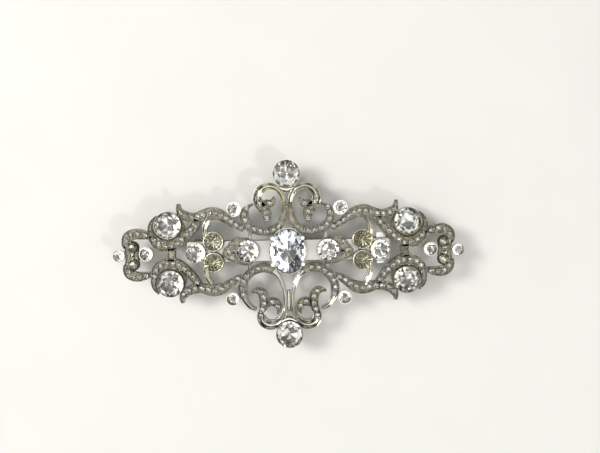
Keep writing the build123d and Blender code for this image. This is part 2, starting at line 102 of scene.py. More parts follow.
def new_material(name):
    """A material with only a Principled shader, and its tree."""
    material = bpy.data.materials.new(name)
    material.use_nodes = True
    tree = material.node_tree
    shader = tree.nodes["Principled BSDF"]
    return material, tree, shader


def noise(tree, scale, detail=3.0, rough=0.6):
    """Noise in object space, with its scale in features per metre."""
    place = node(tree, "TexCoord")
    made = node(tree, "TexNoise", Scale=scale, Detail=detail, Roughness=rough)
    tree.links.new(place.outputs["Object"], made.inputs["Vector"])
    return made.outputs["Fac"]


def ramp(tree, factor, stops):
    """A colour ramp with stops (place, colour)."""
    made = tree.nodes.new("ShaderNodeValToRGB")
    elements = made.color_ramp.elements
    elements[0].position, elements[0].color = stops[0][0], (*stops[0][1], 1)
    elements[1].position, elements[1].color = stops[-1][0], (*stops[-1][1], 1)
    for place, colour in stops[1:-1]:
        elements.new(place).color = (*colour, 1)
    tree.links.new(factor, made.inputs["Fac"])
    return made.outputs["Color"]


def mix(tree, factor, a, b, blend="MIX"):
    """Two colours mixed; each may be a colour or a socket."""
    made = tree.nodes.new("ShaderNodeMix")
    made.data_type = "RGBA"
    made.blend_type = blend
    for socket, value in ((made.inputs[0], factor), (made.inputs[6], a), (made.inputs[7], b)):
        if isinstance(value, bpy.types.NodeSocket):
            tree.links.new(value, socket)
        else:
            socket.default_value = value if isinstance(value, float) else (*value, 1)
    return made.outputs[2]


def height_share(tree, z0, z1):
    """A value that goes from 0 to 1 between two heights in millimetres."""
    place = node(tree, "TexCoord")
    split = node(tree, "SeparateXYZ")
    tree.links.new(place.outputs["Object"], split.inputs[0])
    span = tree.nodes.new("ShaderNodeMapRange")
    span.inputs["From Min"].default_value = z0 * MM
    span.inputs["From Max"].default_value = z1 * MM
    tree.links.new(split.outputs["Z"], span.inputs["Value"])
    return span.outputs["Result"]


def bump(tree, shader, height, strength, distance):
    """A bump of so many millimetres on a shader."""
    made = node(tree, "Bump", Strength=strength, Distance=distance * MM)
    tree.links.new(height, made.inputs["Height"])
    tree.links.new(made.outputs["Normal"], shader.inputs["Normal"])


# %% [markdown]
# ## Antiqued casting metal
# The ornament is cast, plated silver-grey and then antiqued: a dark wash is wiped off the high places and
# stays in the dips. So the colour mixes a dark olive brown with silver by height and by occlusion, with a
# patchy warm stain that is stronger in some places than in others. The occlusion darkening is partly that wash and
# partly painted shade in the crevices.


# %% Metals
def metal(name, dark, light, roughness, grain_scale, grain, z_span=None, stain=None, dips=None):
    """A plated metal, darkened in its dips by painted shade and, where it is antiqued, by oxide, with a fine grain
    in its bump.
    """
    material, tree, shader = new_material(name)
    shader.inputs["Metallic"].default_value = 1.0
    patches = noise(tree, grain_scale * 0.25, 4.0)
    colour = ramp(tree, patches, [(0.3, dark), (0.62, light)])
    if stain:
        warm = ramp(tree, noise(tree, 90.0, 2.0), [(0.45, (0, 0, 0)), (0.7, (1, 1, 1))])
        colour = mix(tree, warm, colour, mix(tree, 1.0, colour, stain, "MULTIPLY"))
    if z_span:
        share = height_share(tree, *z_span)
        colour = mix(tree, share, mix(tree, 1.0, colour, dips, "MULTIPLY"), colour)
    # Painted shade: ambient occlusion darkens the base colour in crevices and where parts come close. On the
    # antiqued casting this partly stands for its real dark oxide. On the clip's steel, spring and solder it is
    # painted shade only.
    hollow = node(tree, "AmbientOcclusion", Distance=0.7 * MM)
    hollow.samples = 4
    oxide_and_painted_shade = ramp(tree, hollow.outputs["AO"], [(0.25, (0.16, 0.145, 0.11)), (0.85, (1, 1, 1))])
    colour = mix(tree, 1.0, colour, oxide_and_painted_shade, "MULTIPLY")
    tree.links.new(colour, shader.inputs["Base Color"])
    low_rough, high_rough = roughness
    rough = ramp(tree, noise(tree, grain_scale, 3.0), [(0.3, (low_rough,) * 3), (0.7, (high_rough,) * 3)])
    tree.links.new(rough, shader.inputs["Roughness"])
    bump(tree, shader, noise(tree, grain_scale, 4.0), grain, 0.05)
    return material


cast_metal = metal(
    "antiqued_casting", (0.17, 0.16, 0.125), (0.60, 0.58, 0.51), (0.14, 0.40), 2600.0, 0.7,
    (face_z - 0.45, face_z - 0.02), (0.84, 0.82, 0.60), (0.22, 0.20, 0.155))
curl_metal = metal(
    "polished_curl", (0.34, 0.33, 0.28), (0.70, 0.69, 0.64), (0.06, 0.16), 700.0, 0.2,
    (face_z - 1.0, face_z - 0.3), (0.86, 0.84, 0.68), (0.42, 0.40, 0.35))
fan_metal = metal(
    "shell_metal", (0.28, 0.27, 0.20), (0.66, 0.64, 0.53), (0.12, 0.34), 1800.0, 0.3,
    (face_z - 1.0, face_z - 0.3), (0.92, 0.90, 0.74), (0.62, 0.60, 0.52))
bead_metal = metal("milgrain_beads", (0.30, 0.28, 0.23), (0.80, 0.78, 0.71), (0.12, 0.3), 1500.0, 0.2)
collet_metal = metal("plated_collet", (0.28, 0.27, 0.23), (0.66, 0.64, 0.59), (0.12, 0.26), 900.0, 0.15)
clip_steel = metal(
    "nickel_plated_steel", (0.26, 0.255, 0.235), (0.40, 0.395, 0.37), (0.22, 0.34), 500.0, 0.08)
spring_steel = metal("bright_spring_steel", (0.52, 0.52, 0.50), (0.72, 0.72, 0.71), (0.16, 0.28), 800.0, 0.1)
solder_metal = metal("soft_solder", (0.40, 0.40, 0.38), (0.62, 0.62, 0.60), (0.35, 0.55), 1200.0, 0.5)
print("metals", [m.name for m in bpy.data.materials if m.name in ("antiqued_casting", "polished_curl")])

# %% [markdown]
# ## Foil-backed crystal
# A cheap bright stone is clear glass whose pointed back is silvered. Light goes in through the crown, hits
# the foil and comes out again, which is what breaks the face into bright and dark rays. So the crown gets
# a clear glass and the back gets a mirror, on one closed mesh, and the facets do the rest.


# %% Crystal and foil
def crystal(name, clear, cloudy, ior):
    """Clear glass with the faintest clouding."""
    material, tree, shader = new_material(name)
    tint = ramp(tree, noise(tree, 400.0, 2.0), [(0.35, cloudy), (0.65, clear)])
    tree.links.new(tint, shader.inputs["Base Color"])
    shader.inputs["Roughness"].default_value = 0.0
    shader.inputs["IOR"].default_value = ior
    shader.inputs["Transmission Weight"].default_value = 1.0
    bump(tree, shader, noise(tree, 300.0, 1.0), 0.05, 0.01)
    return material


def foil(name, bright, dull):
    """The silvering on the back of a stone."""
    material, tree, shader = new_material(name)
    shader.inputs["Metallic"].default_value = 1.0
    tint = ramp(tree, noise(tree, 900.0, 3.0), [(0.35, dull), (0.6, bright)])
    tree.links.new(tint, shader.inputs["Base Color"])
    shader.inputs["Roughness"].default_value = 0.05
    return material


round_crystal = crystal("clear_crystal", (1.0, 1.0, 0.99), (0.97, 0.98, 0.96), 1.56)
oval_crystal = crystal("oval_crystal", (0.97, 0.98, 1.0), (0.93, 0.95, 1.0), 1.5)
silver_foil = foil("silver_foil", (0.97, 0.97, 0.95), (0.92, 0.91, 0.88))
oval_foil = foil("oval_foil", (0.95, 0.96, 0.98), (0.86, 0.88, 0.92))

# %% [markdown]
# ## From lists of points to solid pieces
# Everything cast is a mesh of its own, so one helper turns vertices and faces into a piece that rides on
# the ornament, stands for its plain node and takes a material.


# %% Piece helpers
def add_piece(name, verts, faces, materials, nodes=(), smooth=False, face_slots=None, body=ORNAMENT):
    """A mesh piece, in millimetres, that rides on a body and stands for some plain nodes."""
    mesh = bpy.data.meshes.new(name)
    mesh.from_pydata([tuple(c * MM for c in v) for v in verts], [], faces)
    for material in materials:
        mesh.materials.append(material)
    if face_slots:
        mesh.polygons.foreach_set("material_index", face_slots)
    mesh.polygons.foreach_set("use_smooth", [smooth] * len(mesh.polygons))
    tidy = bmesh.new()
    tidy.from_mesh(mesh)
    bmesh.ops.recalc_face_normals(tidy, faces=tidy.faces)
    tidy.to_mesh(mesh)
    tidy.free()
    piece = bpy.data.objects.new(name, mesh)
    bpy.context.collection.objects.link(piece)
    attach(piece, body)
    if nodes:
        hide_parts(*nodes)
    return piece


class Soup:
    """Vertices and faces gathered from several closed shapes."""

    def __init__(self):
        self.verts, self.faces = [], []

    def add(self, verts, faces):
        start = len(self.verts)
        self.verts += [tuple(v) for v in verts]
        self.faces += [tuple(start + i for i in face) for face in faces]


def smooth_line(stations, steps=7):
    """A Catmull-Rom curve through stations (x, y, width)."""
    points = [2 * np.array(stations[0]) - np.array(stations[1])]
    points += [np.array(s, float) for s in stations]
    points.append(2 * points[-1] - points[-2])
    line = []
    for a, b, c, d in zip(points, points[1:], points[2:], points[3:]):
        for t in np.arange(steps) / steps:
            line.append(0.5 * (2 * b + (c - a) * t + (2 * a - 5 * b + 4 * c - d) * t ** 2
                               + (3 * b - a - 3 * c + d) * t ** 3))
    line.append(points[-2])
    line = np.array(line)
    line[:, 2] = np.maximum(line[:, 2], 0.25)
    return line


def across(line):
    """Unit vectors at right angles to a line, one for each point."""
    along = np.gradient(line[:, :2], axis=0)
    along /= np.linalg.norm(along, axis=1)[:, None]
    return np.stack([-along[:, 1], along[:, 0]], axis=1)


# %% [markdown]
# ## Cross-sections of the scrolls
# Two sections cover the whole casting. A set band has a rail at each edge and a sunk floor between them
# for the chips. A polished curl is scooped like a leaf, with a fine lip at each edge.


# %% Sections
def railed(width):
    """Rails at the edges and a sunk floor, as (place across, height over the face)."""
    rail = min(rail_width / (width / 2), 0.36)
    return [(-1, -0.3), (-1 + rail * 0.25, -0.04), (-1 + rail * 0.5, 0.03), (-1 + rail * 0.8, -0.04),
            (-1 + rail, -channel_depth), (1 - rail, -channel_depth), (1 - rail * 0.8, -0.04),
            (1 - rail * 0.5, 0.03), (1 - rail * 0.25, -0.04), (1, -0.3)]


def scooped(width):
    """A leaf-like hollow with a lip at each edge."""
    depth = min(0.28 * width, 0.75)
    lip = min(0.16 / (width / 2), 0.2)
    inner = [(u, 0.02 - depth * (1 - (u / (1 - lip)) ** 2)) for u in np.linspace(-(1 - lip), 1 - lip, 9)]
    return [(-1, -0.35), (-1 + lip * 0.3, 0.02), *inner, (1 - lip * 0.3, 0.02), (1, -0.35)]


def domed(width):
    """A plain round-topped bar."""
    return [(u, -0.5 + 0.55 * math.sqrt(max(0.0, 1 - (u * 0.98) ** 2))) for u in np.linspace(-1, 1, 9)]


def sweep(soup, line, section, flip=1):
    """A closed bar along a line, from the casting's back to its section."""
    sides = across(line)
    verts, count = [], None
    for (x, y, width), side in zip(line, sides):
        ring = [(-1, back_z - face_z)] + section(width) + [(1, back_z - face_z)]
        count = len(ring)
        for u, height in ring:
            half = u * width / 2
            verts.append((flip * (x + side[0] * half), y + side[1] * half, face_z + height))
    faces = []
    rows = len(line)
    for row in range(rows - 1):
        for k in range(count):
            a, b = row * count + k, row * count + (k + 1) % count
            faces.append((a, b, b + count, a + count))
    faces.append(tuple(range(count)))
    faces.append(tuple((rows - 1) * count + k for k in range(count)))
    soup.add(verts, faces)


def ball(soup, x, y, z, radius, rings=4, parts=8):
    """A small bead."""
    verts = [(x, y, z + radius), (x, y, z - radius)]
    for ring in range(1, rings):
        tilt = math.pi * ring / rings
        for part in range(parts):
            turn = 2 * math.pi * part / parts
            verts.append((x + radius * math.sin(tilt) * math.cos(turn), y + radius * math.sin(tilt) * math.sin(turn),
                          z + radius * math.cos(tilt)))
    faces = []
    for part in range(parts):
        after = (part + 1) % parts
        faces.append((0, 2 + part, 2 + after))
        last = 2 + (rings - 2) * parts
        faces.append((1, last + after, last + part))
        for ring in range(rings - 2):
            a = 2 + ring * parts
            faces.append((a + part, a + parts + part, a + parts + after, a + after))
    soup.add(verts, faces)


def bead_row(soup, line, offset, pitch, radius, flip=1):
    """Beads at an even pitch along one edge of a band: offset is 1 for its left edge, -1 for its right."""
    inset = rail_width * 0.45
    sides = across(line)
    edge = line[:, :2] + sides * (offset * (line[:, 2] / 2 - inset))[:, None]
    steps = np.linalg.norm(np.diff(edge, axis=0), axis=1)
    run = np.concatenate([[0], np.cumsum(steps)])
    count = max(2, int(run[-1] / pitch))
    for place in np.linspace(0, run[-1], count):
        x, y = np.interp(place, run, edge[:, 0]), np.interp(place, run, edge[:, 1])
        ball(soup, flip * x, y, face_z + 0.02, radius)


# %% [markdown]
# ## The scrolls' middle lines
# These are the lines a wax carver would draw: places along each band with its width, in millimetres, for
# the left half. The right half is the same, mirrored. The bands are the ones that the castings were made to.

# %% Bands
UPPER_SCROLL = [
    (-10.0, 14.9, 0.7), (-11.4, 14.2, 1.1), (-12.5, 12.8, 2.3), (-12.7, 11.2, 2.5), (-12.2, 9.5, 2.6),
    (-11.0, 8.1, 2.6), (-9.3, 7.3, 2.6), (-7.4, 6.9, 2.6), (-5.4, 6.9, 2.6), (-3.6, 7.6, 2.5),
    (-2.2, 8.9, 2.3), (-1.3, 10.8, 2.1), (-0.9, 12.9, 1.5), (-0.9, 15.2, 1.3), (-1.4, 17.3, 1.6),
    (-2.7, 19.2, 1.8), (-4.8, 20.1, 2.0), (-6.8, 19.7, 2.3), (-8.2, 18.4, 2.5), (-8.7, 16.8, 2.5),
    (-8.3, 15.3, 2.9), (-7.3, 14.1, 3.1), (-6.4, 13.0, 3.1), (-6.0, 11.8, 2.9), (-6.1, 10.6, 2.4),
    (-6.7, 9.4, 0.6)]
UPPER_LEAF = [
    (-7.6, 15.0, 2.0), (-6.2, 15.0, 2.5), (-5.1, 15.0, 2.5), (-4.2, 15.7, 1.8), (-3.8, 16.9, 0.5)]
LOWER_SCROLL = [
    (-9.6, -16.2, 0.7), (-11.2, -15.5, 1.3), (-12.6, -13.9, 1.5), (-13.4, -12.0, 2.2), (-13.7, -10.0, 2.6),
    (-13.2, -8.0, 2.6), (-12.1, -6.1, 2.6), (-10.4, -4.8, 2.6), (-8.4, -4.1, 2.6), (-6.4, -4.1, 2.5),
    (-4.6, -4.9, 2.2), (-3.2, -6.3, 1.4), (-2.1, -8.2, 1.3), (-1.4, -10.4, 1.3), (-1.1, -12.6, 1.3),
    (-1.1, -14.8, 1.3), (-1.4, -17.0, 1.5), (-2.2, -19.0, 2.0), (-3.8, -20.5, 2.6), (-5.7, -20.9, 2.9),
    (-7.4, -20.2, 2.9), (-8.3, -18.7, 2.6), (-8.3, -17.2, 2.2), (-7.7, -16.0, 2.5), (-7.4, -14.6, 2.7),
    (-7.4, -13.0, 2.9), (-7.9, -11.6, 2.7), (-9.1, -10.7, 2.0), (-11.0, -10.9, 0.6)]
LOWER_LEAF = [
    (-7.0, -14.6, 2.1), (-6.2, -14.4, 2.4), (-5.0, -14.1, 2.5), (-3.8, -14.4, 2.4), (-3.1, -15.4, 1.9),
    (-3.1, -16.5, 1.3), (-3.5, -17.6, 0.4)]
UPPER_WAVE = [
    (-32.0, 15.4, 0.8), (-31.9, 13.9, 1.5), (-31.2, 12.6, 2.5), (-29.9, 11.8, 2.8), (-28.4, 11.4, 2.8),
    (-27.0, 11.4, 2.9), (-25.0, 11.9, 3.2), (-23.4, 12.3, 3.7), (-21.8, 12.4, 3.8), (-20.2, 12.1, 3.4),
    (-18.6, 11.2, 3.0), (-17.2, 10.2, 2.4), (-15.6, 9.1, 2.1), (-14.0, 8.2, 2.0), (-12.9, 7.4, 1.6)]
LOWER_WAVE = [
    (-31.4, -13.9, 0.9), (-31.5, -12.8, 1.6), (-31.0, -11.6, 2.6), (-30.2, -10.7, 2.8), (-28.6, -10.0, 2.8),
    (-26.8, -9.7, 2.8), (-25.0, -9.8, 2.9), (-23.0, -10.3, 3.3), (-21.2, -10.3, 3.5), (-19.5, -9.8, 3.3),
    (-18.0, -8.9, 2.8), (-16.5, -7.9, 2.4), (-15.0, -7.0, 2.0), (-13.6, -6.4, 1.5)]
UPPER_CRADLE = [
    (-38.6, 11.9, 0.4), (-39.8, 10.6, 0.8), (-40.5, 9.0, 1.1), (-40.5, 7.4, 1.5), (-40.0, 5.8, 2.3),
    (-39.0, 4.4, 2.9), (-37.6, 3.4, 3.2), (-36.0, 3.0, 3.2), (-34.2, 3.0, 3.0), (-32.6, 3.7, 2.9),
    (-31.2, 4.8, 2.8), (-29.9, 6.1, 2.7), (-28.5, 7.6, 2.6), (-27.2, 9.1, 2.5), (-26.5, 10.6, 2.2)]
LOWER_CRADLE = [
    (-38.4, -11.0, 0.5), (-39.6, -9.6, 1.0), (-40.0, -8.0, 1.3), (-39.8, -6.2, 1.8), (-39.3, -4.6, 2.5),
    (-38.3, -3.2, 3.0), (-36.9, -2.4, 3.1), (-35.0, -2.1, 3.1), (-33.1, -2.3, 3.0), (-31.5, -3.2, 2.8),
    (-30.0, -4.4, 2.5), (-28.6, -5.9, 2.4), (-27.4, -7.4, 2.3), (-26.3, -8.9, 2.0)]
NECK = [(-34.4, 2.4, 2.6), (-34.4, 0.5, 2.2), (-34.6, -1.4, 2.6)]
FAN_ARMS = [
    [(-22.9, 10.9, 1.4), (-24.0, 9.2, 1.6), (-24.4, 7.4, 1.5), (-24.1, 5.4, 1.4)],
    [(-24.0, -2.6, 1.3), (-24.3, -4.4, 1.5), (-23.9, -6.4, 1.5), (-22.9, -8.2, 1.4), (-22.5, -9.6, 1.2)]]
LINKS = [
    [(-11.3, 4.4, 1.0), (-11.1, 5.6, 1.0), (-11.0, 6.9, 1.0)],
    [(-11.5, -2.4, 1.0), (-11.5, -3.6, 1.0), (-11.3, -4.9, 1.0)]]
UPPER_LOBE = [
    (-40.4, 5.6, 1.4), (-41.3, 6.1, 2.0), (-42.8, 6.5, 2.8), (-44.4, 6.8, 3.1), (-45.9, 6.6, 3.2),
    (-47.1, 5.8, 3.2), (-47.6, 4.5, 2.9), (-47.3, 3.0, 2.8)]
LOWER_LOBE = [
    (-40.2, -5.0, 1.2), (-41.2, -5.4, 1.8), (-42.8, -5.8, 2.5), (-44.3, -5.9, 2.8), (-45.7, -5.7, 2.9),
    (-46.9, -5.0, 2.9), (-47.4, -3.8, 2.8), (-47.3, -2.4, 2.8)]
END_COLUMN = [(-47.2, 3.6, 2.8), (-46.3, 1.9, 3.8), (-45.9, 0.4, 3.6), (-46.2, -1.1, 3.8), (-47.1, -2.8, 2.8)]
COLLAR = [
    (-10.6, 4.6), (-12.0, 5.1), (-13.8, 5.0), (-15.6, 4.9), (-16.8, 4.3), (-17.7, 3.0), (-18.5, 1.7),
    (-19.3, 0.4), (-17.8, -1.0), (-16.0, -2.1), (-14.0, -2.9), (-12.0, -3.1), (-10.6, -2.6)]
CURL_BALLS = [(-45.7, 2.9, 1.8), (-45.6, -2.2, 1.8)]
FANS = [(-22.0, 4.1, -90), (-22.0, -2.1, 90)]
FAN_RADIUS = 3.0
PADS = [(-35.0, 8.2, 4.5, "left_upper_cradle_collet"), (-34.7, -7.2, 4.4, "left_lower_cradle_collet")]


def stretch(stations, first, last, steps=7):
    """The part of a band's smooth line between two of its stations."""
    return smooth_line(stations, steps)[first * steps:last * steps + 1]


# %% [markdown]
# ## Fans
# Between the cradles and the collar lies a pair of shell-like fans. On the casting each is a shallow dish
# with ribs that spread from a bright lip. A grid of rings and rays gives the ribs real height.


# %% Fans and pads
def fan(soup, x, y, turn, flip):
    """A ribbed dish with a raised lip all round."""
    rays, rings = 72, 9
    ribs = 14
    verts = []
    for ring in range(rings + 1):
        share = ring / rings
        radius = FAN_RADIUS * (0.05 + 0.95 * share)
        for ray in range(rays):
            angle = 2 * math.pi * ray / rays
            height = -0.95 + 0.55 * share ** 2
            if share < 0.86:
                height += 0.24 * share * math.cos(ribs * angle)
            else:
                height += 0.42 * (1 - abs(share - 0.94) / 0.08)
            facing = 0.5 + 0.5 * math.cos(angle - math.radians(turn))
            height += 0.25 * facing * share
            verts.append((flip * (x + radius * math.cos(angle)), y + radius * math.sin(angle), face_z + height))
    top = len(verts)
    for ray in range(rays):
        angle = 2 * math.pi * ray / rays
        verts.append((flip * (x + FAN_RADIUS * math.cos(angle)), y + FAN_RADIUS * math.sin(angle), back_z))
    faces = [tuple(range(rays)), tuple(top + ray for ray in range(rays))]
    for ring in range(rings + 1):
        for ray in range(rays):
            after = (ray + 1) % rays
            a = ring * rays
            faces.append((a + ray, a + after, a + rays + after, a + rays + ray))
    soup.add(verts, faces)


def pad(soup, x, y, radius, collet, flip):
    """The sunk web of the casting that carries a collet beside its cradle."""
    lo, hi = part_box(collet)
    cx, cy = (lo[0] + hi[0]) / 2 / MM, (lo[1] + hi[1]) / 2 / MM
    inner = (hi[0] - lo[0]) / 2 / MM
    rays = 64
    rows = []
    for ray in range(rays):
        angle = 2 * math.pi * ray / rays
        ux, uy = math.cos(angle), math.sin(angle)
        dx, dy = x - cx, y - cy
        along = ux * dx + uy * dy
        outer = along + math.sqrt(max(0.0, along ** 2 - dx * dx - dy * dy + radius ** 2))
        rows.append((ux, uy, max(outer, inner + 0.02)))
    verts = []
    for level in (back_z, face_z - 0.5):
        for ux, uy, outer in rows:
            verts.append((flip * (cx + ux * (inner - 0.1)), cy + uy * (inner - 0.1), level))
            verts.append((flip * (cx + ux * outer), cy + uy * outer, level))
    faces = []
    half = 2 * rays
    for ray in range(rays):
        a, b = 2 * ray, 2 * ((ray + 1) % rays)
        faces += [(a, b, b + 1, a + 1), (half + a, half + b, half + b + 1, half + a + 1),
                  (a, b, half + b, half + a), (a + 1, b + 1, half + b + 1, half + a + 1)]
    soup.add(verts, faces)


def collar_line():
    """The crescent round an inner collet, as a band from its outline."""
    lo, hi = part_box("left_inner_collet")
    centre = np.array([(lo[0] + hi[0]) / 2 / MM, (lo[1] + hi[1]) / 2 / MM])
    inner = (hi[0] - lo[0]) / 2 / MM
    stations = []
    for point in COLLAR:
        reach = np.array(point) - centre
        distance = np.linalg.norm(reach)
        middle = centre + reach / distance * (distance + inner) / 2
        stations.append((middle[0], middle[1], max(distance - inner, 0.3)))
    return smooth_line(stations)


# %% [markdown]
# ## The castings
# Each motif becomes three pieces: the set bands in antiqued metal, the scooped curls in polished metal, and
# the rows of tiny beads that a setter rolls along the rails, which jewellers call milgrain.

# %% Heart scrolls
BEAD = 0.17
PITCH = 0.46
for motif, scroll, runs, curls, leaf in (
        ("upper_heart", UPPER_SCROLL, [(0, 13), (20, 25)], [(13, 20)], UPPER_LEAF),
        ("lower_heart", LOWER_SCROLL, [(3, 10), (23, 28)], [(0, 3), (10, 23)], LOWER_LEAF)):
    set_bands, scoops, beads = Soup(), Soup(), Soup()
    for flip in (1, -1):
        for first, last in runs:
            line = stretch(scroll, first, last)
            sweep(set_bands, line, railed, flip)
            for edge in (1, -1):
                bead_row(beads, line, edge, PITCH, BEAD, flip)
        line = smooth_line(leaf)
        sweep(set_bands, line, railed, flip)
        for edge in (1, -1):
            bead_row(beads, line, edge, PITCH, BEAD, flip)
        for first, last in curls:
            sweep(scoops, stretch(scroll, first, last), scooped, flip)
    if motif == "upper_heart":
        ball(scoops, 0.0, 14.0, face_z - 0.3, 0.55)
        sweep(scoops, smooth_line([(-2.2, 19.6, 1.2), (0, 19.0, 1.5), (2.2, 19.6, 1.2)]), domed)
    else:
        sweep(scoops, smooth_line([(0, -10.6, 0.8), (0, -13.6, 1.5), (0, -16.8, 0.8)]), domed)
        sweep(scoops, smooth_line([(-2.4, -20.0, 1.2), (0, -19.2, 1.4), (2.4, -20.0, 1.2)]), domed)
    add_piece(motif + "_set_bands", set_bands.verts, set_bands.faces, [cast_metal], [motif])
    add_piece(motif + "_polished_curls", scoops.verts, scoops.faces, [curl_metal], smooth=True)
    add_piece(motif + "_milgrain", beads.verts, beads.faces, [bead_metal], smooth=True)
    print(motif, "faces", len(set_bands.faces), len(scoops.faces), len(beads.faces))

# %% Wings and end hearts
for side, flip in (("left", 1), ("right", -1)):
    bands, plain, beads, fans = Soup(), Soup(), Soup(), Soup()
    rows = [smooth_line(UPPER_WAVE), smooth_line(LOWER_WAVE), smooth_line(UPPER_CRADLE),
            smooth_line(LOWER_CRADLE), smooth_line(NECK), collar_line()]
    for line in rows:
        sweep(bands, line, railed, flip)
        for edge in (1, -1):
            bead_row(beads, line, edge, PITCH, BEAD, flip)
    for stations in FAN_ARMS + LINKS:
        sweep(plain, smooth_line(stations), scooped, flip)
    for x, y, turn in FANS:
        fan(fans, x, y, turn, flip)
    for x, y, radius, collet in PADS:
        pad(bands, x, y, radius, collet, flip)
    wing = side + "_wing"
    add_piece(wing + "_set_bands", bands.verts, bands.faces, [cast_metal], [wing])
    add_piece(wing + "_arms", plain.verts, plain.faces, [curl_metal], smooth=True)
    add_piece(wing + "_fans", fans.verts, fans.faces, [fan_metal], smooth=True)
    add_piece(wing + "_milgrain", beads.verts, beads.faces, [bead_metal], smooth=True)
    bands, beads = Soup(), Soup()
    for line in (smooth_line(UPPER_LOBE), smooth_line(LOWER_LOBE), smooth_line(END_COLUMN)):
        sweep(bands, line, railed, flip)
        for edge in (1, -1):
            bead_row(beads, line, edge, PITCH, BEAD, flip)
    for x, y, radius in CURL_BALLS:
        ball(bands, flip * x, y, face_z - 0.9, radius, 8, 20)
    end = side + "_end_heart"
    add_piece(end + "_set_bands", bands.verts, bands.faces, [cast_metal], [end])
    add_piece(end + "_milgrain", beads.verts, beads.faces, [bead_metal], smooth=True)
    print(side, "wing and end heart made")


# %% [markdown]
# ## Cutting the stones
# A round brilliant has a flat table, a ring of star and kite facets, small facets to the girdle and a
# pointed back. Its vertices fall on five rings, so one function cuts every stone, and stretches it for the
# oval. The crown faces take the glass and the back takes the foil.


# %% Brilliant cut
def brilliant(x, y, z, rx, ry, depth, crown, fold=8, table=0.56, turn=0.0):
    """Vertices, faces and the material slot of each face of one cut stone, girdle at height z."""
    step = 2 * math.pi / fold
    verts = []

    def ring(count, offset, share, height):
        start = len(verts)
        for i in range(count):
            angle = turn + (i + offset) * 2 * math.pi / count
            verts.append((x + rx * share * math.cos(angle), y + ry * share * math.sin(angle), z + height))
        return start

    top = ring(fold, 0.5, table, crown)
    kite = ring(fold, 0.0, 0.5 + table / 2, crown * 0.60)
    girdle = ring(2 * fold, 0.0, 1.0, 0.10 * crown)
    below = ring(2 * fold, 0.0, 1.0, -0.06 * crown)
    back = ring(fold, 0.0, 0.52, -depth * 0.55)
    verts.append((x, y, z - depth))
    culet = len(verts) - 1
    faces, slots = [tuple(top + i for i in range(fold))], [0]
    for i in range(fold):
        after = (i + 1) % fold
        odd, even, before = 2 * i + 1, 2 * i, (2 * i - 1) % (2 * fold)
        crown_faces = [
            (top + i, top + after, kite + after), (top + i, kite + after, girdle + odd, kite + i),
            (kite + i, girdle + even, girdle + before), (kite + i, girdle + odd, girdle + even)]
        back_faces = [
            (back + i, below + before, below + even), (back + i, below + even, below + odd),
            (back + i, below + odd, back + after), (culet, back + i, back + after)]
        faces += crown_faces + back_faces
        slots += [0] * 4 + [1] * 4
    for i in range(2 * fold):
        after = (i + 1) % (2 * fold)
        faces.append((girdle + i, girdle + after, below + after, below + i))
        slots.append(0)
    return verts, faces, slots


def middle_of(node_name):
    """A node's middle, its half sizes and its top, in millimetres."""
    lo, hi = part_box(node_name)
    centre = [(a + b) / 2 / MM for a, b in zip(lo, hi)]
    half = [(b - a) / 2 / MM for a, b in zip(lo, hi)]
    return centre, half, hi[2] / MM


random.seed(7)
CROWN_SHARE = 0.36
stone_nodes = [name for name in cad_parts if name.endswith("_stone") and name != "centre_stone"]
for name in sorted(stone_nodes):
    centre, half, top = middle_of(name)
    radius = half[0]
    crown = radius * CROWN_SHARE
    depth = 2 * half[2] - crown
    verts, faces, slots = brilliant(
        centre[0], centre[1], top - crown, radius, radius, depth, crown, table=0.62,
        turn=random.uniform(0, math.pi / 4))
    add_piece(name.replace("_stone", "_brilliant"), verts, faces, [round_crystal, silver_foil],
              [name], face_slots=slots)
print("round stones", len(stone_nodes))

# %% Oval centre stone
centre, half, top = middle_of("centre_stone")
oval_crown = 2.0
verts, faces, slots = brilliant(
    centre[0], centre[1], top - oval_crown, half[0], half[1], 2 * half[2] - oval_crown, oval_crown, fold=10,
    table=0.5, turn=math.pi / 10)
add_piece("centre_brilliant", verts, faces, [oval_crystal, oval_foil], ["centre_stone"],
          face_slots=slots)

# %% [markdown]
# ## Chips and their grains
# The small stones along the bands are too many to name, so each casting's chips are one piece. Their places
# are read from the plain chips, one island of mesh for each. Four grains of metal are raised round every
# chip to hold it, as a pavé setter does with a graver.


# %% Chips
def island_boxes(mesh):
    """The middle and top of every separate part of a mesh, in millimetres."""
    work = bmesh.new()
    work.from_mesh(mesh)
    bmesh.ops.remove_doubles(work, verts=work.verts, dist=1e-6)
    seen, found = set(), []
    for start in work.verts:
        if start in seen:
            continue
        seen.add(start)
        stack, points = [start], []
        while stack:
            vert = stack.pop()
            points.append(vert.co)
            for edge in vert.link_edges:
                other = edge.other_vert(vert)
                if other not in seen:
                    seen.add(other)
                    stack.append(other)
        xs, ys, zs = ([p[axis] / MM for p in points] for axis in range(3))
        found.append(((min(xs) + max(xs)) / 2, (min(ys) + max(ys)) / 2, max(zs), (max(xs) - min(xs)) / 2))
    work.free()
    return found


